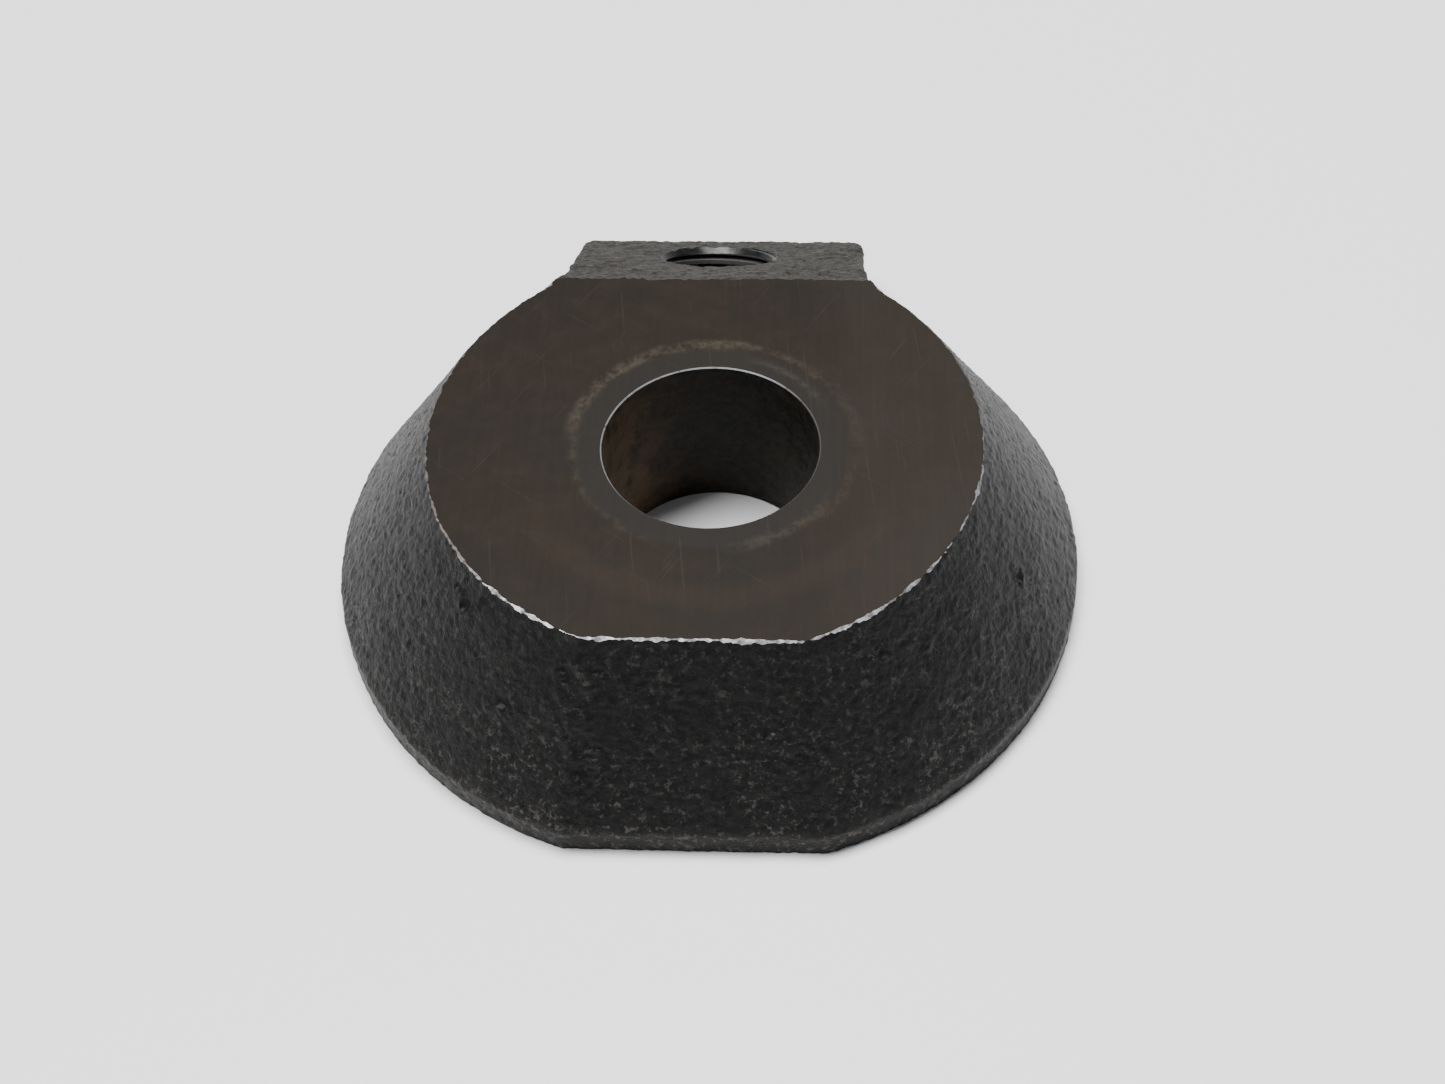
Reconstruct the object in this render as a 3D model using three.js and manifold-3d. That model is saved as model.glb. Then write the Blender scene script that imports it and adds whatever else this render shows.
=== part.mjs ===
// Clamp casting: a flared, drafted iron pad with a plain bore through its machined
// top face, a flat front, and a sloping rear lug with a tapped hole square to its slope.
// Millimetres, +Z up. The origin is the middle of the footprint, on the base plane;
// the lug points along +Y and the front flat faces -Y.

import * as THREE from 'three';
import { ParametricGeometry } from 'three/addons/geometries/ParametricGeometry.js';
import { mergeVertices } from 'three/addons/utils/BufferGeometryUtils.js';
import Module from 'manifold-3d';

// ---- driving dimensions ------------------------------------------------------

const height = 28;              // base plane to machined top face
const rimHeight = 3.8;          // upright band round the foot, below the draft
const baseRadius = 56.5;        // round outline at the foot
const topRadius = 40.9;         // round outline at the top face
const frontFlatBase = 53.4;     // front flat, from the round outline's axis, at the foot
const frontFlatTop = 37.9;      // the same, at the top face

const boreDiameter = 31.75;     // 1 1/4 in
const boreChamfer = 0.4;
const boreShiftX = 1.0;         // the bore sits a little off the round outline's axis
const boreShiftY = -1.6;

const lugHalfWidth = 23.9;
const lugEnd = 64.6;            // back face of the lug, from the round outline's axis
const lugCornerRadius = 2;
const lugFilletRadius = 10;     // where the lug's sides run into the round outline
const slopeStart = 34.15;       // back edge of the top face
const slopeDrop = 0.634;        // fall of the lug's top for each millimetre backwards

const threadMajor = 19.05;      // 3/4-16 UNF
const threadPitch = 1.5875;
const threadDepth = 0.5413 * threadPitch;
const tappedHoleY = 50.9;       // the middle of its mouth, on the sloping top
const mouthRadius = 9.8;        // countersink at the tapped hole's mouth
const mouthDepth = 1.15;

const flatArcSteps = 40;        // segments on each side of the round outline
const filletSteps = 6;
const cornerSteps = 4;
const boreSteps = 96;
const threadSteps = 20;         // segments in one turn of the thread
const overrun = 4;              // how far a cutter runs past the iron

// ---- derived places ----------------------------------------------------------

const axisY = ( frontFlatBase - lugEnd ) / 2;   // round outline's axis in the part's frame
const bore = new THREE.Vector2( boreShiftX, axisY + boreShiftY );
const mouthHeight = height - slopeDrop * ( tappedHoleY - slopeStart );
const mouth = new THREE.Vector3( 0, axisY + tappedHoleY, mouthHeight );
const tilt = Math.atan( slopeDrop );            // the tapped hole's lean from the bore
const threadMinorRadius = threadMajor / 2 - threadDepth;
const halfStep = Math.PI / ( 2 * threadSteps );   // half a facet of the tapped hole's core

// ---- solids ------------------------------------------------------------------

const wasm = await Module();
wasm.setup();

function toSolid( geometry ) {

	const bare = geometry.clone();
	bare.deleteAttribute( 'normal' );
	bare.deleteAttribute( 'uv' );
	const merged = mergeVertices( bare, 1e-4 );
	const corners = [];
	for ( let i = 0; i < merged.index.count; i += 3 ) {

		const [ a, b, c ] = [ 0, 1, 2 ].map( ( k ) => merged.index.getX( i + k ) );
		if ( a !== b && b !== c && c !== a ) corners.push( a, b, c );

	}

	return new wasm.Manifold( new wasm.Mesh( {
		numProp: 3,
		vertProperties: new Float32Array( merged.attributes.position.array ),
		triVerts: new Uint32Array( corners )
	} ) );

}

function toGeometry( solid ) {

	const mesh = solid.getMesh();
	const geometry = new THREE.BufferGeometry();
	geometry.setAttribute( 'position', new THREE.BufferAttribute( mesh.vertProperties, 3 ) );
	geometry.setIndex( new THREE.BufferAttribute( mesh.triVerts, 1 ) );
	geometry.computeVertexNormals();
	return geometry;

}

// A closed body turned about +Z from a profile of [ radius, height ] points that
// starts and ends on the axis. Cutters that meet are turned from different start
// angles, so that their edges cross faces and never each other.
function turned( profile, steps, start = 0 ) {

	const points = profile.map( ( [ r, z ] ) => new THREE.Vector2( r, z ) );
	return new THREE.LatheGeometry( points, steps, start ).rotateX( Math.PI / 2 );

}

// ---- cast body ---------------------------------------------------------------

// Plan outline at one level, about the round outline's axis: the round sides, the
// front flat, and the lug with a fillet on each side, each fillet touching both the
// round side and the lug's side.
function outline( radius, frontFlat ) {

	const filletX = lugHalfWidth + lugFilletRadius;
	const filletY = Math.sqrt( ( radius + lugFilletRadius ) ** 2 - filletX ** 2 );
	const filletAngle = Math.atan2( filletY, filletX );
	const flatAngle = Math.asin( frontFlat / radius );
	const cornerX = lugHalfWidth - lugCornerRadius;
	const cornerY = lugEnd - lugCornerRadius;
	const arc = ( x, y, r, from, to, steps ) => {

		const curve = new THREE.EllipseCurve( x, y, r, r, from, to, to < from );
		return curve.getPoints( steps );

	};

	const right = [
		...arc( 0, 0, radius, - flatAngle, filletAngle, flatArcSteps ),
		...arc( filletX, filletY, lugFilletRadius, Math.PI + filletAngle, Math.PI, filletSteps ).slice( 1 ),
		...arc( cornerX, cornerY, lugCornerRadius, 0, Math.PI / 2, cornerSteps )
	];
	const left = right.map( ( p ) => new THREE.Vector2( - p.x, p.y ) ).reverse();
	return [ ...right, ...left ];

}

function castBody() {

	const foot = outline( baseRadius, frontFlatBase );
	const top = outline( topRadius, frontFlatTop );
	const middle = foot.map( () => new THREE.Vector2() );
	const levels = [
		{ z: 0, points: middle },
		{ z: 0, points: foot },
		{ z: rimHeight, points: foot },
		{ z: height, points: top },
		{ z: height, points: middle }
	];
	const surface = ( u, v, target ) => {

		const level = levels[ Math.round( v * ( levels.length - 1 ) ) ];
		const point = level.points[ Math.round( u * foot.length ) % foot.length ];
		target.set( point.x, point.y, level.z );

	};

	return toSolid( new ParametricGeometry( surface, foot.length, levels.length - 1 ) );

}

// Everything above the lug's sloping top, as a wedge right across the part.
function slopeCutter() {

	const back = lugEnd + overrun;
	const shape = new THREE.Shape( [
		new THREE.Vector2( slopeStart, height ),
		new THREE.Vector2( back, height - slopeDrop * ( back - slopeStart ) ),
		new THREE.Vector2( back, height + overrun ),
		new THREE.Vector2( slopeStart - overrun / slopeDrop, height + overrun )
	] );
	const width = 2 * baseRadius;
	const wedge = new THREE.ExtrudeGeometry( shape, { depth: width, bevelEnabled: false } );
	const acrossX = new THREE.Matrix4().makeBasis(
		new THREE.Vector3( 0, 1, 0 ), new THREE.Vector3( 0, 0, 1 ), new THREE.Vector3( 1, 0, 0 ) );
	return toSolid( wedge.translate( 0, 0, - width / 2 ).applyMatrix4( acrossX ) );

}

// ---- holes -------------------------------------------------------------------

function boreCutter() {

	const r = boreDiameter / 2;
	const flare = r + boreChamfer + overrun;
	return toSolid( turned( [
		[ 0, - overrun ],
		[ flare, - overrun ],
		[ r, boreChamfer ],
		[ r, height - boreChamfer ],
		[ flare, height + overrun ],
		[ 0, height + overrun ]
	], boreSteps ).translate( bore.x, bore.y, 0 ) );

}

// One thread groove as a straight bar, then wound round the hole's axis: the bar's
// length becomes the angle, each turn climbs by one pitch, and the section's second
// coordinate is turned over so that the wound bar isn't inside out.
function threadGroove( low, high ) {

	const inner = threadMinorRadius - 0.2;
	const outer = threadMajor / 2;
	const halfRoot = threadPitch * 0.375 + 0.1;
	const halfCrest = threadPitch / 16;
	const section = new THREE.Shape( [
		new THREE.Vector2( inner, - halfRoot ),
		new THREE.Vector2( outer, - halfCrest ),
		new THREE.Vector2( outer, halfCrest ),
		new THREE.Vector2( inner, halfRoot )
	] );
	const turns = ( high - low ) / threadPitch;
	const steps = Math.ceil( turns * threadSteps );
	const bar = new THREE.ExtrudeGeometry( section, { depth: turns, steps, bevelEnabled: false } );
	const place = bar.attributes.position;
	for ( let i = 0; i < place.count; i ++ ) {

		const radius = place.getX( i );
		const angle = 2 * Math.PI * place.getZ( i ) + halfStep;
		const climb = low + threadPitch * place.getZ( i ) - place.getY( i );
		place.setXYZ( i, radius * Math.cos( angle ), radius * Math.sin( angle ), climb );

	}

	return bar;

}

// The tapped hole runs square to the sloping top and out through the foot. Its
// cutters are made round +Z with the mouth at zero height, then leant back.
function tappedHoleCutter() {

	const low = - ( mouthHeight / Math.cos( tilt ) + mouthRadius * slopeDrop + overrun );
	const place = new THREE.Matrix4().makeRotationX( - tilt ).setPosition( mouth );
	const leant = ( geometry ) => toSolid( geometry.applyMatrix4( place ) );
	const core = turned( [
		[ 0, low ],
		[ threadMinorRadius, low ],
		[ threadMinorRadius, overrun ],
		[ 0, overrun ]
	], 2 * threadSteps );
	const groove = threadGroove( low, threadPitch );
	const flare = ( mouthRadius - threadMinorRadius ) / mouthDepth;
	const countersink = turned( [
		[ 0, - 2 * mouthDepth ],
		[ mouthRadius - 2 * mouthDepth * flare, - 2 * mouthDepth ],
		[ mouthRadius + overrun * flare, overrun ],
		[ 0, overrun ]
	], 2 * threadSteps, halfStep );

	return leant( core ).add( leant( groove ) ).add( leant( countersink ) );

}

// ---- the part ----------------------------------------------------------------

const castIron = new THREE.MeshStandardMaterial( { color: 0x2b2a27, roughness: 0.7, metalness: 0.6 } );

const clampCasting = castBody()
	.subtract( slopeCutter() )
	.translate( 0, axisY, 0 )
	.subtract( boreCutter() )
	.subtract( tappedHoleCutter() );

const casting = new THREE.Mesh( toGeometry( clampCasting ), castIron );
casting.name = 'clamp_casting';

const part = new THREE.Group();
part.add( casting );

export default part;
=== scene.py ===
# Clamp casting on a pale floor: a rough blank is poured, then its faces, bore and
# tapped hole are cut into it, as the real one is made.
import math
import bpy
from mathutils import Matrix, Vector, kdtree, noise


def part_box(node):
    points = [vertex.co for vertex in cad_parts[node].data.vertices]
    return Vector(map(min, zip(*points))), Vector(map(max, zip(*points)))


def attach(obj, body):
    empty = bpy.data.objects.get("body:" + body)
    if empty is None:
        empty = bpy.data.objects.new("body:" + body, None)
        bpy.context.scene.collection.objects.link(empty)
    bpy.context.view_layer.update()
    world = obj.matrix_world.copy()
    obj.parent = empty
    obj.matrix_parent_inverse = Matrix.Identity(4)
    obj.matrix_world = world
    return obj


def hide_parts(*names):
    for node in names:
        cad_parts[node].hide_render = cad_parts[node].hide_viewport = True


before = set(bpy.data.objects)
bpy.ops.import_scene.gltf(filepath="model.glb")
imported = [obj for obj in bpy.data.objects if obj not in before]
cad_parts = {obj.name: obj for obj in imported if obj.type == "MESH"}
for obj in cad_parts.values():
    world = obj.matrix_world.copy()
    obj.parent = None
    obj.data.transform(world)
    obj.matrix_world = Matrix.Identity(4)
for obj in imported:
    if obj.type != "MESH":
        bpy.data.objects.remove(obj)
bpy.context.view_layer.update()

# ---- sizes, in metres --------------------------------------------------------

CAST_LOW, CAST_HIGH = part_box("clamp_casting")
HEIGHT = CAST_HIGH[2]
BASE_RADIUS = CAST_HIGH[0]
TOP_RADIUS = 0.0409
RIM_HEIGHT = 0.0038
FLAT_BASE = 0.0534             # front flat, from the round outline's axis, at the foot
FLAT_TOP = 0.0379
AXIS_Y = CAST_LOW[1] + FLAT_BASE
LUG_HALF_WIDTH = 0.0239
LUG_END = CAST_HIGH[1] - AXIS_Y
LUG_CORNER = 0.0025
LUG_EDGE = 0.0010              # rounding along the lug's top edges
LUG_FILLET = 0.010
SLOPE_START = 0.03415          # back edge of the top face, from the axis
SLOPE_DROP = 0.634
DRAFT = (BASE_RADIUS - TOP_RADIUS) / (HEIGHT - RIM_HEIGHT)

BORE_RADIUS = 0.015875
BORE_X, BORE_Y = 0.0010, AXIS_Y - 0.0016
BORE_LIP = 0.00018
THREAD_RADIUS = 0.009525
THREAD_PITCH = 0.0015875
THREAD_CORE = THREAD_RADIUS - 0.5413 * THREAD_PITCH
HOLE_Y = AXIS_Y + 0.0509
MOUTH_RADIUS = 0.0098
MOUTH_DEPTH = 0.00115
MOUTH = (0, HOLE_Y, HEIGHT - SLOPE_DROP * (HOLE_Y - AXIS_Y - SLOPE_START))
TILT = math.atan(SLOPE_DROP)   # the tapped hole leans back from the bore by this much

SKIN = 0.00028                 # the blank's mean surface lies this far inside the frame
ALLOWANCE = 0.0012             # iron left on the blank's top and foot to be cut away
EDGE_FALL = 0.5                # slope of the worn edge round the top face
VOXEL = 0.00044
CRISP_ANGLE = math.radians(50)
TOUCH = 1e-5                   # faces closer than this to a height lie at it
BAND_TOP = RIM_HEIGHT * 1.45   # dust catches on the foot's band up to about here
BAND_FULL = RIM_HEIGHT * 0.75


# ---- small helpers -----------------------------------------------------------

def deselect_all():
    if bpy.context.object and bpy.context.object.mode != "OBJECT":
        bpy.ops.object.mode_set(mode="OBJECT")
    bpy.ops.object.select_all(action="DESELECT")


def make_active(piece):
    deselect_all()
    piece.select_set(True)
    bpy.context.view_layer.objects.active = piece


def edit(piece, mode="VERT"):
    make_active(piece)
    bpy.ops.object.mode_set(mode="EDIT")
    bpy.ops.mesh.select_mode(type=mode)
    bpy.ops.mesh.select_all(action="DESELECT")


def done():
    bpy.ops.object.mode_set(mode="OBJECT")


def named(name):
    piece = bpy.context.object
    piece.name = name
    piece.data.name = name
    return piece


def apply_modifier(piece, kind, **settings):
    make_active(piece)
    modifier = piece.modifiers.new(kind.lower(), kind)
    for key, value in settings.items():
        setattr(modifier, key, value)
    bpy.ops.object.modifier_apply(modifier=modifier.name)


def cut(piece, tool, operation="DIFFERENCE"):
    """Cuts a piece with a tool. The new faces take the tool's finishes."""
    apply_modifier(piece, "BOOLEAN", operation=operation, object=tool, solver="EXACT",
                   material_mode="TRANSFER")
    bpy.data.objects.remove(tool)


def finish_faces(piece, finish, chosen):
    """Gives the faces that pass a test a finish of their own."""
    piece.data.materials.append(finish)
    slot = len(piece.data.materials) - 1
    for face in piece.data.polygons:
        if chosen(face):
            face.material_index = slot


def extrude_cap(piece, end, rise, widen, centre):
    """Draws out a piece's top (end 1) or bottom (end -1) face and scales it in plan."""
    level = 0.9
    edit(piece, "FACE")
    done()
    reach = max(vertex.co.z * end for vertex in piece.data.vertices)
    for face in piece.data.polygons:
        at_end = face.center.z * end > reach - TOUCH
        face.select = at_end and face.normal.z * end > level
    bpy.ops.object.mode_set(mode="EDIT")
    bpy.ops.mesh.extrude_region_move(TRANSFORM_OT_translate={"value": (0, 0, end * rise)})
    bpy.ops.transform.resize(value=(widen, widen, 1), center_override=(*centre, 0))
    done()


def slice_off(piece, point, normal):
    """Removes what lies beyond a plane and closes the cut."""
    edit(piece)
    bpy.ops.mesh.select_all(action="SELECT")
    bpy.ops.mesh.bisect(plane_co=point, plane_no=normal, clear_outer=True, use_fill=True,
                        threshold=1e-7)
    done()


# ---- finishes ----------------------------------------------------------------

class Finish:
    """A material whose nodes are added one call at a time."""

    def __init__(self, name, metallic=0.0, specular=0.5):
        self.material = bpy.data.materials.new(name)
        self.material.use_nodes = True
        self.tree = self.material.node_tree
        self.shader = self.tree.nodes["Principled BSDF"]
        self.shader.inputs["Metallic"].default_value = metallic
        self.shader.inputs["Specular IOR Level"].default_value = specular
        self.place = self.add("TexCoord").outputs["Object"]

    def feed(self, socket, value):
        if isinstance(value, bpy.types.NodeSocket):
            self.tree.links.new(value, socket)
        elif isinstance(value, tuple) and socket.type == "RGBA":
            socket.default_value = (*value, 1)
        else:
            socket.default_value = value

    def add(self, kind, **settings):
        node = self.tree.nodes.new("ShaderNode" + kind)
        for key, value in settings.items():
            setattr(node, key, value)
        return node

    def math(self, operation, *values):
        node = self.add("Math", operation=operation)
        for socket, value in zip(node.inputs, values):
            self.feed(socket, value)
        return node.outputs[0]

    def noise(self, size, detail=2.0, roughness=0.5, stretch=None, turn=0.0):
        """Cloudy noise from 0 to 1. size is its coarsest feature, in metres; stretch
        draws it out along an axis, which turn swings round +Z."""
        node = self.add("TexNoise")
        place = self.place
        if stretch:
            mapping = self.add("Mapping", vector_type="TEXTURE")
            self.feed(mapping.inputs["Vector"], place)
            mapping.inputs["Rotation"].default_value[2] = turn
            mapping.inputs["Scale"].default_value = stretch
            place = mapping.outputs[0]
        self.feed(node.inputs["Vector"], place)
        node.inputs["Scale"].default_value = 1 / size
        node.inputs["Detail"].default_value = detail
        node.inputs["Roughness"].default_value = roughness
        return node.outputs[0]

    def between(self, value, low, high):
        """0 below low, 1 above high, smooth between. low may be the larger."""
        node = self.add("MapRange", interpolation_type="SMOOTHSTEP")
        self.feed(node.inputs["Value"], value)
        node.inputs["From Min"].default_value = low
        node.inputs["From Max"].default_value = high
        return node.outputs["Result"]

    def within(self, value, low, high, soft):
        """1 from low to high, falling to 0 over a soft margin either side."""
        return self.math("MULTIPLY", self.between(value, low - soft, low + soft),
                         self.between(value, high + soft, high - soft))

    def mix(self, share, first, second):
        node = self.add("Mix", data_type="RGBA")
        first_colour, second_colour, result = 6, 7, 2
        self.feed(node.inputs["Factor"], share)
        self.feed(node.inputs[first_colour], first)
        self.feed(node.inputs[second_colour], second)
        return node.outputs[result]

    def blend(self, share, first, second):
        """Mixes two numbers."""
        node = self.add("Mix", data_type="FLOAT")
        first_number, second_number = 2, 3
        self.feed(node.inputs["Factor"], share)
        self.feed(node.inputs[first_number], first)
        self.feed(node.inputs[second_number], second)
        return node.outputs[0]

    def where(self):
        """The x, y and z of the place being painted."""
        node = self.add("SeparateXYZ")
        self.feed(node.inputs[0], self.place)
        return tuple(node.outputs)

    def scaled(self, share, colour):
        """A colour made lighter or darker by a number."""
        node = self.add("VectorMath", operation="SCALE")
        self.feed(node.inputs[0], colour)
        self.feed(node.inputs["Scale"], share)
        return node.outputs[0]

    def colour(self, value):
        self.feed(self.shader.inputs["Base Color"], value)

    def roughness(self, value):
        self.feed(self.shader.inputs["Roughness"], value)

    def specular(self, value):
        self.feed(self.shader.inputs["Specular IOR Level"], value)

    def bump(self, height, depth):
        node = self.add("Bump")
        self.feed(node.inputs["Height"], height)
        node.inputs["Distance"].default_value = depth
        self.feed(self.shader.inputs["Normal"], node.outputs[0])


def cast_skin():
    """Black oily sand-cast iron with dusty specks, dustier along the foot's band."""
    thick_oil = (0.0012, 0.0012, 0.0012)
    thin_oil = (0.0026, 0.0024, 0.0022)
    dry_skin = (0.0062, 0.0058, 0.0052)
    dust = (0.050, 0.046, 0.041)
    caught_dust = (0.072, 0.067, 0.060)
    dust_film = (0.029, 0.0258, 0.0215)

    skin = Finish("cast_skin")
    y, z = skin.where()[1:]
    patches = skin.noise(0.012, 3, 0.6)
    grit = skin.noise(0.0013, 4, 0.7)
    grain = skin.noise(0.0006, 3, 0.7)
    gritty = skin.between(grit, 0.42, 0.62)
    specks = skin.between(skin.noise(0.0010, 4, 0.75), 0.53, 0.64)

    crowding = skin.between(skin.noise(0.007, 3, 0.6), 0.34, 0.62)
    low_down = skin.between(z, HEIGHT * 0.8, RIM_HEIGHT)
    crowding = skin.math("MULTIPLY", crowding, skin.blend(low_down, 0.5, 1.0))
    oily = skin.mix(patches, thick_oil, thin_oil)
    oily = skin.mix(gritty, oily, dry_skin)
    dusted = skin.mix(skin.math("MULTIPLY", specks, crowding), oily, dust)

    # dust has caught on the foot's band, and lies in a thin film on the lug's slope
    band = skin.between(z, BAND_TOP, BAND_FULL)
    caught = skin.math("MULTIPLY", band, skin.blend(specks, 0.16, 0.95))
    dusted = skin.mix(caught, dusted, caught_dust)
    slope_front = AXIS_Y + SLOPE_START
    slope_level = HEIGHT + SLOPE_DROP * slope_front
    up_slope = skin.math("ADD", z, skin.math("MULTIPLY", y, SLOPE_DROP))
    on_slope = skin.between(up_slope, slope_level - 0.0040, slope_level - 0.0015)
    behind = skin.between(y, slope_front - 0.002, slope_front - 0.001)
    lug = skin.math("MULTIPLY", on_slope, behind)
    film = skin.math("MULTIPLY", lug, skin.blend(gritty, 0.38, 0.88))
    skin.colour(skin.mix(film, dusted, dust_film))

    skin.specular(skin.blend(band, 0.20, 0.13))
    skin.roughness(skin.blend(lug, skin.blend(grit, 0.34, 0.56), skin.blend(grit, 0.50, 0.80)))
    lumpy = skin.math("MULTIPLY", grit, skin.blend(lug, 0.9, 2.0))
    skin.bump(skin.math("ADD", grain, lumpy), 0.00018)
    return skin.material


# dirt left round a washer: from and to (degrees), inner and outer radius, strength
WASHER_DIRT = [
    (84, 170, 0.0199, 0.0218, 0.75),
    (38, 90, 0.0204, 0.0216, 0.50),
    (30, 68, 0.0178, 0.0188, 0.45),
    (0, 34, 0.0206, 0.0224, 0.22),
    (168, 198, 0.0196, 0.0206, 0.35),
    (196, 246, 0.0197, 0.0204, 0.40),
    (284, 326, 0.0190, 0.0208, 0.42),
    (322, 350, 0.0204, 0.0218, 0.25),
]


# fine scratches: width, turn round +Z from the y axis (radians), strength
SCRATCHES = [
    (0.00045, 0.12, 0.18),
    (0.00040, -0.55, 0.16),
    (0.00040, 0.95, 0.12),
]


def machined():
    """The turned top face: brown oxide, a washer's ring round the bore, fine scratches."""
    brown_oxide = (0.0138, 0.0099, 0.0070)
    grey_oxide = (0.0118, 0.0099, 0.0082)
    rust_bloom = (0.0165, 0.0118, 0.0082)
    dry_patch = (0.0205, 0.0165, 0.0132)
    washed_iron = (0.0140, 0.0125, 0.0110)
    rust_ring = (0.0225, 0.0150, 0.0098)
    washer_dirt = (0.044, 0.037, 0.028)
    scratched_iron = (0.040, 0.036, 0.032)

    face = Finish("machined", specular=0.05)
    x, y = face.where()[:2]
    across = face.math("SUBTRACT", x, BORE_X)
    along = face.math("SUBTRACT", y, BORE_Y)
    radius = face.math("SQRT", face.math("ADD", face.math("MULTIPLY", across, across),
                                         face.math("MULTIPLY", along, along)))
    turn = face.math("DEGREES", face.math("ARCTAN2", along, across))
    turn = face.math("FLOORED_MODULO", turn, 360)
    wander = face.math("MULTIPLY", face.math("SUBTRACT", face.noise(0.004, 3, 0.6), 0.5), 0.0016)
    radius = face.math("ADD", radius, wander)
    patches = face.noise(0.022, 3, 0.6)
    mottle = face.noise(0.0036, 4, 0.65)
    broken = face.between(face.noise(0.0016, 4, 0.75), 0.34, 0.66)
    streaks = face.noise(0.0006, 2, 0.5, stretch=(1, 20, 1))

    oxide = face.mix(face.between(patches, 0.35, 0.65), brown_oxide, grey_oxide)
    oxide = face.mix(face.between(mottle, 0.40, 0.80), oxide, rust_bloom)
    to_right = face.math("MULTIPLY", face.between(across, 0.012, 0.026), patches)
    oxide = face.mix(to_right, oxide, dry_patch)
    washed = face.math("MULTIPLY", face.between(radius, 0.0202, 0.0193), 0.8)
    oxide = face.mix(washed, oxide, washed_iron)
    front = face.between(along, -0.010, -0.022)
    rubbed = face.math("MULTIPLY", face.within(radius, 0.0265, 0.0305, 0.0012), front)
    oxide = face.mix(face.math("MULTIPLY", rubbed, 0.35), oxide, rust_ring)

    for start, end, inner, outer, strength in WASHER_DIRT:
        arc_part = face.math("MULTIPLY", face.within(turn, start, end, 12),
                             face.within(radius, inner, outer, 0.0006))
        dirt = face.math("MULTIPLY", arc_part, face.math("MULTIPLY", broken, strength))
        oxide = face.mix(dirt, oxide, washer_dirt)
    for size, lean, strength in SCRATCHES:
        scratches = face.noise(size, 1, 0.4, stretch=(1, 42, 1), turn=lean)
        scratches = face.math("MULTIPLY", face.between(scratches, 0.71, 0.76), strength)
        oxide = face.mix(scratches, oxide, scratched_iron)

    face.colour(face.scaled(face.blend(streaks, 0.88, 1.12), oxide))
    face.roughness(face.blend(mottle, 0.36, 0.52))
    face.bump(face.math("ADD", face.math("MULTIPLY", streaks, 0.5), mottle), 0.00003)
    return face.material


def worn_edge():
    """Bare iron where edges have rubbed: bright in front, rust-pink left, and painted darker
    (painted shade) behind and to the right.
    """
    bright_iron_and_painted_highlight = (0.40, 0.40, 0.42)
    rusty_iron = (0.22, 0.180, 0.160)
    shaded_iron = (0.10, 0.10, 0.10)
    dull_iron_and_painted_shade = (0.11, 0.105, 0.10)

    edge = Finish("worn_edge", metallic=0.85)
    x, y = edge.where()[:2]
    rubbed = edge.noise(0.0012, 3, 0.7)
    left = edge.between(x, -0.020, -0.034)
    bare = edge.mix(left, bright_iron_and_painted_highlight, rusty_iron)
    # painted shade: behind and to the right the bare iron is swapped for a darker, shaded copy
    behind = edge.between(y, AXIS_Y - 0.010, AXIS_Y + 0.012)
    right = edge.between(x, -0.020, 0.020)
    bare = edge.mix(edge.math("MULTIPLY", behind, right), bare, shaded_iron)
    dull = edge.math("MULTIPLY", edge.between(rubbed, 0.56, 0.40), 0.75)
    edge.colour(edge.mix(dull, bare, dull_iron_and_painted_shade))
    edge.roughness(edge.blend(rubbed, 0.30, 0.50))
    return edge.material


def bore_lip():
    """The bore's narrow lip: bare iron with a painted highlight at the back and left, duller at
    the front.
    """
    dull_iron_and_painted_shade = (0.16, 0.15, 0.14)
    bright_iron_and_painted_highlight = (0.50, 0.50, 0.51)
    stained_iron = (0.055, 0.050, 0.045)

    lip = Finish("bore_lip", metallic=0.8)
    x, y = lip.where()[:2]
    rubbed = lip.noise(0.0014, 3, 0.7)
    # painted highlight: the lip's bare iron is painted brighter towards the back and left
    painted_highlight_back_left = lip.math("SUBTRACT", lip.math("SUBTRACT", y, BORE_Y),
                         lip.math("SUBTRACT", x, BORE_X))
    bare = lip.mix(lip.between(painted_highlight_back_left, -0.006, 0.010), dull_iron_and_painted_shade, bright_iron_and_painted_highlight)
    stained = lip.math("MULTIPLY", lip.between(rubbed, 0.45, 0.30), 0.6)
    lip.colour(lip.mix(stained, bare, stained_iron))
    lip.roughness(lip.blend(rubbed, 0.36, 0.50))
    return lip.material


def bore_wall():
    """Dark, mottled bore with rust on its left."""
    oil = (0.0030, 0.0028, 0.0022)
    oxide = (0.0150, 0.0140, 0.0110)
    thin_rust = (0.040, 0.0250, 0.0140)
    orange_rust = (0.105, 0.0680, 0.0380)

    wall = Finish("bore_wall", specular=0.15)
    x = wall.where()[0]
    mottle = wall.noise(0.0050, 4, 0.65)
    spots = wall.noise(0.0014, 3, 0.6)
    left = wall.between(x, BORE_X - 0.002, BORE_X - 0.014)
    rusty = wall.blend(left, wall.between(mottle, 0.40, 0.64), wall.between(mottle, 0.20, 0.55))
    rusty = wall.math("MULTIPLY", rusty, wall.blend(left, 0.28, 1.0))
    dark = wall.mix(wall.between(spots, 0.35, 0.65), oil, oxide)
    wall.colour(wall.mix(rusty, dark, wall.mix(left, thin_rust, orange_rust)))
    wall.roughness(wall.blend(spots, 0.48, 0.68))
    wall.bump(wall.math("ADD", spots, wall.math("MULTIPLY", mottle, 0.5)), 0.00012)
    return wall.material


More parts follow.
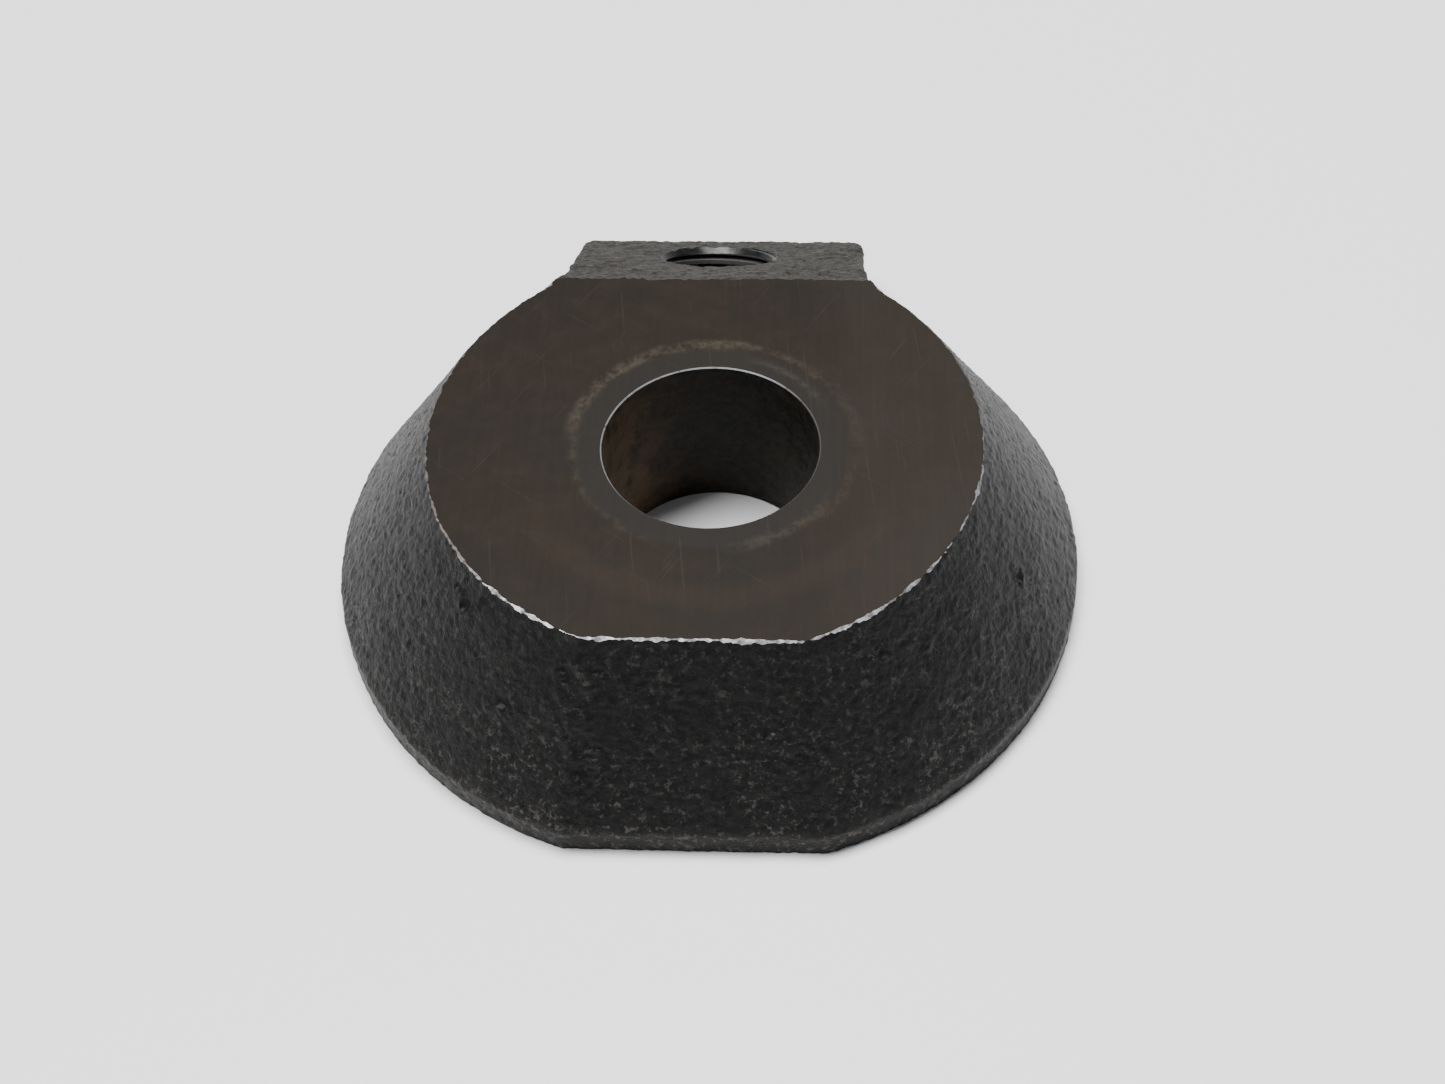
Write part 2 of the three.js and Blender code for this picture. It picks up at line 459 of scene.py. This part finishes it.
def countersink():
    """The tapped hole's countersink: dark, smooth, cut iron, rougher at its sides, where it is
    also painted darker as painted shade.
    """
    stained_iron = (0.009, 0.0088, 0.0085)
    clean_iron = (0.025, 0.025, 0.026)
    dull_iron_and_painted_shade = (0.010, 0.0095, 0.009)

    cone = Finish("countersink", metallic=0.8)
    x = cone.where()[0]
    stain = cone.noise(0.0022, 3, 0.6)
    # painted shade: the countersink's sides are painted darker so that they catch less of the
    # lamp
    sides = cone.between(cone.math("ABSOLUTE", x), 0.0060, 0.0086)
    middle = cone.mix(cone.between(stain, 0.35, 0.65), stained_iron, clean_iron)
    cone.colour(cone.mix(sides, middle, dull_iron_and_painted_shade))
    cone.roughness(cone.blend(sides, cone.blend(stain, 0.24, 0.40), 0.55))
    return cone.material


def thread():
    """The thread: dull with old oil, a little brighter where a screw has rubbed."""
    oiled_iron = (0.030, 0.029, 0.027)
    rubbed_iron = (0.055, 0.053, 0.051)

    flanks = Finish("thread", metallic=0.2)
    rubbed = flanks.noise(0.0015, 3, 0.6)
    flanks.colour(flanks.mix(rubbed, oiled_iron, rubbed_iron))
    flanks.roughness(flanks.blend(rubbed, 0.42, 0.60))
    return flanks.material


def foot():
    """The ground underside: dull grey-brown with scuffs."""
    brown_iron = (0.026, 0.021, 0.017)
    grey_iron = (0.040, 0.036, 0.032)
    scuffed_iron = (0.080, 0.075, 0.070)

    sole = Finish("foot", metallic=0.4)
    patches = sole.noise(0.016, 4, 0.6)
    scuffs = sole.noise(0.0009, 3, 0.6, stretch=(16, 1, 1))
    worn = sole.mix(patches, brown_iron, grey_iron)
    sole.colour(sole.mix(sole.between(scuffs, 0.52, 0.70), worn, scuffed_iron))
    sole.roughness(sole.blend(scuffs, 0.42, 0.60))
    sole.bump(scuffs, 0.00003)
    return sole.material


MAKERS = (cast_skin, machined, worn_edge, bore_lip, bore_wall, countersink, thread, foot)
FINISH = {maker.__name__: maker() for maker in MAKERS}


# ---- the poured blank --------------------------------------------------------

def arc(x, y, radius, start, end, steps):
    turn = (end - start) / steps
    return [(x + radius * math.cos(start + turn * i), y + radius * math.sin(start + turn * i))
            for i in range(steps + 1)]


def plan_outline(radius, flat, inset):
    """The casting seen from above at one height, about the round outline's axis."""
    radius, flat = radius - inset, flat - inset
    side, end = LUG_HALF_WIDTH - inset, LUG_END - inset
    fillet_x = side + LUG_FILLET
    fillet_y = math.sqrt((radius + LUG_FILLET) ** 2 - fillet_x ** 2)
    fillet_turn = math.atan2(fillet_y, fillet_x)
    right = arc(0, 0, radius, -math.asin(flat / radius), fillet_turn, 60)
    right += arc(fillet_x, fillet_y, LUG_FILLET, math.pi + fillet_turn, math.pi, 12)[1:]
    right += arc(side - LUG_CORNER, end - LUG_CORNER, LUG_CORNER, 0, math.pi / 2, 6)
    left = [(-x, y) for x, y in reversed(right)]
    return [(x, y + AXIS_Y) for x, y in right + left]


def place_ring(piece, outline, z):
    """Puts the selected ring of vertices, which has just been added, on an outline."""
    done()
    ring = [vertex for vertex in piece.data.vertices if vertex.select]
    for vertex, (x, y) in zip(ring, outline):
        vertex.co = (x, y, z)
    bpy.ops.object.mode_set(mode="EDIT")


def pour_blank():
    levels = [
        (-ALLOWANCE, BASE_RADIUS, FLAT_BASE),
        (RIM_HEIGHT, BASE_RADIUS, FLAT_BASE),
        (HEIGHT + ALLOWANCE, TOP_RADIUS - DRAFT * ALLOWANCE, FLAT_TOP - DRAFT * ALLOWANCE),
    ]
    outlines = [plan_outline(radius, flat, SKIN) for z, radius, flat in levels]
    deselect_all()
    bpy.ops.mesh.primitive_circle_add(vertices=len(outlines[0]), radius=BASE_RADIUS,
                                      fill_type="NGON")
    blank = named("casting")
    bpy.ops.object.mode_set(mode="EDIT")
    bpy.ops.mesh.select_all(action="SELECT")
    for (z, radius, flat), outline in zip(levels, outlines):
        if z > 0:
            bpy.ops.mesh.extrude_region_move(TRANSFORM_OT_translate={"value": (0, 0, z)})
        place_ring(blank, outline, z)
    bpy.ops.mesh.select_all(action="SELECT")
    bpy.ops.mesh.normals_make_consistent(inside=False)
    done()
    slope_front = (0, AXIS_Y + SLOPE_START, HEIGHT - SKIN)
    slice_off(blank, slope_front, (0, SLOPE_DROP, 1))
    round_lug(blank)
    return blank


def round_lug(blank):
    """Rounds the edges between the lug's sloping top and its sides and end."""
    edit(blank, "EDGE")
    done()
    corners = blank.data.vertices
    leaning = [face for face in blank.data.polygons if 0.3 < face.normal.y < 0.7]
    slope = max(leaning, key=lambda face: face.area)
    rim = {tuple(sorted(key)) for key in slope.edge_keys}
    below_top = HEIGHT - 0.001
    for edge in blank.data.edges:
        low_end = min(corners[i].co.z for i in edge.vertices)
        edge.select = edge.key in rim and low_end < below_top
    bpy.ops.object.mode_set(mode="EDIT")
    bpy.ops.mesh.bevel(offset=LUG_EDGE, segments=4, profile=0.5)
    done()


# ---- the sand-cast skin ------------------------------------------------------

def grain_texture(name, kind, size, **settings):
    texture = bpy.data.textures.new(name, kind)
    texture.noise_scale = size
    for key, value in settings.items():
        setattr(texture, key, value)
    return texture


def side_point(turn, height):
    """A point on the round side: turn in degrees from +X, height above the foot."""
    radius = BASE_RADIUS - DRAFT * max(0, height - RIM_HEIGHT)
    turn = math.radians(turn)
    return Vector((radius * math.cos(turn), AXIS_Y + radius * math.sin(turn), height))


def flat_point(x, height):
    """A point on the front flat."""
    return Vector((x, AXIS_Y - FLAT_BASE + DRAFT * max(0, height - RIM_HEIGHT), height))


def slope_point(x, back):
    """A point on the lug's sloping top, this far behind its front edge in plan."""
    return Vector((x, AXIS_Y + SLOPE_START + back, HEIGHT - SLOPE_DROP * back))


# where, radius and depth of gas holes (positive) and of sand lumps (negative)
BLEMISHES = [
    (flat_point(-0.0170, 0.0235), 0.0017, 0.0005),
    (flat_point(-0.0150, 0.0180), 0.0013, -0.0003),
    (flat_point(-0.0148, 0.0150), 0.0019, 0.0004),
    (flat_point(-0.0158, 0.0115), 0.0014, 0.0005),
    (flat_point(-0.0162, 0.0085), 0.0010, -0.0003),
    (flat_point(-0.0182, 0.0212), 0.0010, -0.0004),
    (flat_point(-0.0142, 0.0222), 0.0011, -0.0005),
    (flat_point(-0.0172, 0.0160), 0.0009, 0.0004),
    (flat_point(-0.0138, 0.0128), 0.0010, -0.0004),
    (flat_point(-0.0125, 0.0240), 0.0008, 0.0004),
    (flat_point(-0.0080, 0.0255), 0.0009, -0.0004),
    (flat_point(-0.0020, 0.0215), 0.0010, -0.0003),
    (flat_point(0.0105, 0.0172), 0.0016, 0.0004),
    (flat_point(0.0135, 0.0150), 0.0012, -0.0003),
    (flat_point(0.0055, 0.0125), 0.0010, -0.0003),
    (side_point(237, 0.0165), 0.0013, 0.0005),
    (side_point(234, 0.0150), 0.0009, -0.0004),
    (side_point(222, 0.0240), 0.0012, 0.0005),
    (side_point(219, 0.0252), 0.0009, 0.0004),
    (side_point(226, 0.0262), 0.0011, 0.0004),
    (side_point(213, 0.0130), 0.0009, -0.0003),
    (side_point(301, 0.0250), 0.0011, -0.0004),
    (side_point(306, 0.0232), 0.0010, 0.0004),
    (side_point(315, 0.0205), 0.0009, -0.0004),
    (side_point(322, 0.0120), 0.0010, -0.0003),
    (side_point(341, 0.0160), 0.0011, 0.0004),
    (slope_point(-0.0185, 0.0075), 0.0013, 0.0004),
    (slope_point(-0.0165, 0.0085), 0.0011, 0.0004),
    (slope_point(-0.0135, 0.0235), 0.0012, 0.0004),
    (slope_point(-0.0125, 0.0055), 0.0010, 0.0003),
    (slope_point(-0.0040, 0.0035), 0.0009, -0.0003),
    (slope_point(0.0070, 0.0040), 0.0012, 0.0003),
    (slope_point(0.0145, 0.0070), 0.0013, 0.0004),
    (slope_point(0.0162, 0.0080), 0.0010, 0.0004),
    (slope_point(0.0180, 0.0190), 0.0012, -0.0004),
    (slope_point(0.0130, 0.0245), 0.0011, 0.0004),
    (slope_point(0.0222, 0.0232), 0.0018, -0.0004),
    (slope_point(0.0236, 0.0062), 0.0017, -0.0005),
    (slope_point(0.0120, 0.0042), 0.0011, 0.0005),
    (slope_point(0.0172, 0.0040), 0.0015, 0.0005),
    (slope_point(-0.0222, 0.0085), 0.0015, -0.0004),
]


def press_blemishes(piece):
    """Sinks each gas hole, with a broken lip round it, and raises each lump."""
    breaks_per_metre = 900
    breakage = 0.7
    lip_height = 0.5               # as a share of the hole's depth
    lip_at, lip_width = 1.2, 0.25  # as shares of the hole's radius
    corners = piece.data.vertices
    outward = [vertex.normal.copy() for vertex in corners]
    tree = kdtree.KDTree(len(corners))
    for vertex in corners:
        tree.insert(vertex.co, vertex.index)
    tree.balance()
    for centre, radius, depth in BLEMISHES:
        for place, index, reach in tree.find_range(centre, radius * 2):
            ragged = noise.noise(place * breaks_per_metre) * breakage
            gap = reach / radius * (1 + ragged)
            bowl = -depth * max(0, 1 - gap ** 2)
            lip = lip_height * max(depth, 0) * (0.6 + ragged)
            lip *= math.exp(-((gap - lip_at) / lip_width) ** 2)
            corners[index].co += outward[index] * (bowl + lip)


def roughen(piece):
    """Gives the blank the skin of a sand mould: long swells, sand lumps and grain, with
    the lumps pressed again into the lug's slope, which is rougher."""
    swell = grain_texture("swell", "CLOUDS", 0.008, noise_depth=1)
    lumps = grain_texture("sand_lumps", "CLOUDS", 0.0016, noise_depth=2, contrast=1.3)
    grain = grain_texture("sand_grain", "CLOUDS", 0.0008, noise_depth=1, contrast=1.5)
    slope = piece.vertex_groups.new(name="slope")
    leaning = [vertex.index for vertex in piece.data.vertices
               if vertex.normal.y > 0.4 and vertex.normal.z > 0.7]
    slope.add(leaning, 1, "REPLACE")
    everywhere = ""
    for texture, strength, group in ((swell, 0.00028, everywhere), (lumps, 0.00018, everywhere),
                                     (grain, 0.00013, everywhere), (lumps, 0.00022, slope.name)):
        apply_modifier(piece, "DISPLACE", texture=texture, strength=strength, mid_level=0.5,
                       texture_coords="LOCAL", direction="NORMAL", vertex_group=group)
    press_blemishes(piece)


# ---- cutting tools -----------------------------------------------------------

def face_outline():
    """The dressed top face's ragged outline about the round outline's axis, left open
    across the lug so that its slope isn't cut."""
    steps = 720
    mean_wear, more_in_front, more_on_left = 0.00014, 0.00006, 0.00003
    chips, chips_per_metre = 0.00030, 520
    nicks, nicks_per_metre = 0.00022, 1500
    outline = []
    for step in range(steps):
        angle = 2 * math.pi * step / steps - math.pi
        place = Vector((math.cos(angle), math.sin(angle), 0)) * TOP_RADIUS
        wear = mean_wear - more_in_front * math.sin(angle) - more_on_left * math.cos(angle)
        ragged = chips * noise.noise(place * chips_per_metre)
        ragged += nicks * noise.noise(place * nicks_per_metre)
        wear += ragged
        radius = TOP_RADIUS - SKIN - wear
        x, y = radius * math.cos(angle), radius * math.sin(angle)
        y = max(y, -(FLAT_TOP - SKIN - wear))
        if y > SLOPE_START - 0.004 and abs(x) < LUG_HALF_WIDTH + 0.001:
            y = SLOPE_START + 0.001 + LUG_END
        outline.append((x, y + AXIS_Y))
    return outline


def facing_tool():
    """The space that the dressed casting keeps: flat at the foot and the top, with a
    worn edge that falls away all round the top face but not across the lug."""
    outline = face_outline()
    deselect_all()
    bpy.ops.mesh.primitive_circle_add(vertices=len(outline), radius=TOP_RADIUS, fill_type="NGON")
    tool = named("facing_tool")
    for vertex, (x, y) in zip(tool.data.vertices, outline):
        vertex.co = (x, y, HEIGHT)
    drop = 0.001
    centre = (0, AXIS_Y, 0)
    make_active(tool)
    bpy.ops.object.mode_set(mode="EDIT")
    bpy.ops.mesh.select_all(action="SELECT")
    bpy.ops.mesh.normals_make_consistent(inside=False)
    for fall, widen in ((drop, 1 + drop / EDGE_FALL / TOP_RADIUS), (0, 2), (HEIGHT - drop, 1)):
        bpy.ops.mesh.extrude_region_move(TRANSFORM_OT_translate={"value": (0, 0, -fall)})
        bpy.ops.transform.resize(value=(widen, widen, 1), center_override=centre)
    bpy.ops.mesh.select_all(action="SELECT")
    bpy.ops.mesh.normals_make_consistent(inside=False)
    done()
    tool.data.materials.append(FINISH["worn_edge"])
    finish_faces(tool, FINISH["machined"], lambda face: face.center.z > HEIGHT - TOUCH)
    finish_faces(tool, FINISH["foot"], lambda face: face.center.z < TOUCH)
    return tool


def bore_tool():
    """A round cutter that flares at both faces, to leave the bore its worn lip."""
    reach = ALLOWANCE * 2
    flare = 1 + (BORE_LIP + reach) / BORE_RADIUS
    centre = (BORE_X, BORE_Y)
    deselect_all()
    bpy.ops.mesh.primitive_cylinder_add(
        vertices=128, radius=BORE_RADIUS, depth=HEIGHT - 2 * BORE_LIP,
        location=(*centre, HEIGHT / 2))
    tool = named("bore_tool")
    bpy.ops.object.transform_apply(location=True)
    for end in (-1, 1):
        extrude_cap(tool, end, BORE_LIP + reach, flare, centre)
    tool.data.materials.append(FINISH["bore_wall"])
    upright, level = 0.1, 0.9
    finish_faces(tool, FINISH["bore_lip"], lambda face: upright < abs(face.normal.z) < level)
    return tool


def lean_back(tool):
    """Stands a cutter made round +Z in the tapped hole, square to the lug's slope."""
    edit(tool)
    bpy.ops.mesh.select_all(action="SELECT")
    bpy.ops.transform.rotate(value=TILT, orient_axis="X", center_override=(0, 0, 0))
    bpy.ops.transform.translate(value=MOUTH)
    done()


def thread_tool():
    """The tapped hole: a core and a screw-swept ridge round it."""
    steps = 36
    above = 0.004
    below = MOUTH[2] / math.cos(TILT) + MOUTH_RADIUS * SLOPE_DROP + above
    deselect_all()
    bpy.ops.mesh.primitive_cylinder_add(vertices=steps, radius=THREAD_CORE, depth=above + below,
                                        location=(0, 0, (above - below) / 2))
    core = named("thread_core")
    bpy.ops.object.transform_apply(location=True)

    # the ridge's section stands upright at the thread's radius, then climbs round
    overlap = 0.0002
    ridge_share = 0.375            # half the ridge's width, as a share of the pitch
    half_width = THREAD_PITCH * ridge_share
    deselect_all()
    bpy.ops.mesh.primitive_circle_add(
        vertices=4, radius=half_width, fill_type="NOTHING",
        location=(THREAD_CORE - overlap, 0, 0), rotation=(math.pi / 2, 0, 0))
    ridge = named("thread_ridge")
    bpy.ops.object.transform_apply(location=True, rotation=True)
    edit(ridge)
    bpy.ops.mesh.select_all(action="SELECT")
    reach = (THREAD_RADIUS - THREAD_CORE + overlap) / half_width
    bpy.ops.transform.resize(value=(reach, 1, 1), center_override=(THREAD_CORE - overlap, 0, 0))
    done()
    turns = math.ceil((below + THREAD_PITCH) / THREAD_PITCH)
    apply_modifier(ridge, "SCREW", axis="Z", angle=2 * math.pi * turns,
                   screw_offset=THREAD_PITCH * turns, steps=steps * turns,
                   render_steps=steps * turns, use_smooth_shade=False)
    edit(ridge)
    bpy.ops.mesh.select_non_manifold()
    bpy.ops.mesh.fill_holes(sides=0)
    bpy.ops.mesh.select_all(action="SELECT")
    bpy.ops.mesh.normals_make_consistent(inside=False)
    bpy.ops.transform.rotate(value=math.pi / steps, orient_axis="Z", center_override=(0, 0, 0))
    bpy.ops.transform.translate(value=(0, 0, -below))
    done()
    apply_modifier(core, "BOOLEAN", operation="UNION", object=ridge, solver="EXACT")
    bpy.data.objects.remove(ridge)
    core.data.materials.clear()
    core.data.materials.append(FINISH["thread"])
    lean_back(core)
    return core


def countersink_tool():
    """The countersink at the tapped hole's mouth."""
    widen = (MOUTH_RADIUS - THREAD_CORE) / MOUTH_DEPTH
    reach = 0.003
    deselect_all()
    bpy.ops.mesh.primitive_cone_add(
        vertices=120, radius1=MOUTH_RADIUS - 2 * MOUTH_DEPTH * widen,
        radius2=MOUTH_RADIUS + reach * widen, depth=2 * MOUTH_DEPTH + reach,
        location=(0, 0, reach / 2 - MOUTH_DEPTH))
    tool = named("countersink_tool")
    bpy.ops.object.transform_apply(location=True)
    lean_back(tool)
    tool.data.materials.append(FINISH["countersink"])
    return tool


# ---- the casting -------------------------------------------------------------

def make_casting():
    casting = pour_blank()
    make_active(casting)
    casting.data.remesh_voxel_size = VOXEL
    bpy.ops.object.voxel_remesh()
    roughen(casting)
    casting.data.materials.append(FINISH["cast_skin"])
    cut(casting, facing_tool(), "INTERSECT")
    cut(casting, bore_tool())
    cut(casting, thread_tool())
    cut(casting, countersink_tool())
    make_active(casting)
    bpy.ops.object.shade_smooth_by_angle(angle=CRISP_ANGLE)
    mark_dressed_edges(casting)
    return casting


def mark_dressed_edges(piece):
    """Keeps an edge crisp wherever two finishes meet."""
    finish_beside = {}
    for face in piece.data.polygons:
        for key in face.edge_keys:
            finish_beside.setdefault(key, set()).add(face.material_index)
    for edge in piece.data.edges:
        if len(finish_beside[edge.key]) > 1:
            edge.use_edge_sharp = True


casting = make_casting()
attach(casting, "root")
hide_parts("clamp_casting")


# ---- the set -----------------------------------------------------------------

def lay_floor():
    width = 12
    off_white = (0.72, 0.71, 0.71)
    deselect_all()
    bpy.ops.mesh.primitive_plane_add(size=width)
    floor = named("floor")
    paint = Finish("pale_floor")
    paint.colour(off_white)
    paint.roughness(0.5)
    floor.data.materials.append(paint.material)


def hang_light(name, size, place, aim, power):
    lamp = bpy.data.lights.new(name, "AREA")
    lamp.shape = "RECTANGLE"
    lamp.size, lamp.size_y = size
    lamp.energy = power
    light = bpy.data.objects.new(name, lamp)
    light.location = place
    light.rotation_euler = (Vector(aim) - Vector(place)).to_track_quat("-Z", "Y").to_euler()
    bpy.context.scene.collection.objects.link(light)


def set_camera():
    data = bpy.data.cameras.new("camera")
    data.sensor_fit = "HORIZONTAL"
    data.sensor_width = 36
    data.lens = 57.3
    camera = bpy.data.objects.new("camera", data)
    bpy.context.scene.collection.objects.link(camera)
    azimuth, elevation, roll = math.radians(3.68), math.radians(49.18), math.radians(-2.01)
    distance = 0.3586
    aim = Vector((0.0019, -0.0016, 0))
    back = Vector((math.sin(azimuth) * math.cos(elevation),
                   -math.cos(azimuth) * math.cos(elevation), math.sin(elevation)))
    camera.location = aim + back * distance
    camera.rotation_euler = (-back).to_track_quat("-Z", "Y").to_euler()
    camera.rotation_euler.rotate_axis("Z", roll)
    data.clip_start, data.clip_end = 0.01, 20
    bpy.context.scene.camera = camera


def light_room():
    cool_white = (0.84, 0.92, 1.0, 1)
    room_light = 0.30
    lamp_size = (3.9, 1.8)
    lamp_place = (-0.54, 0.90, 3.9)
    lamp_watts = 540
    centre = (0, 0, 0)
    world = bpy.data.worlds.new("room")
    world.use_nodes = True
    walls = world.node_tree.nodes["Background"]
    walls.inputs["Color"].default_value = cool_white
    walls.inputs["Strength"].default_value = room_light
    bpy.context.scene.world = world
    hang_light("overhead", lamp_size, lamp_place, centre, lamp_watts)


lay_floor()
set_camera()
light_room()
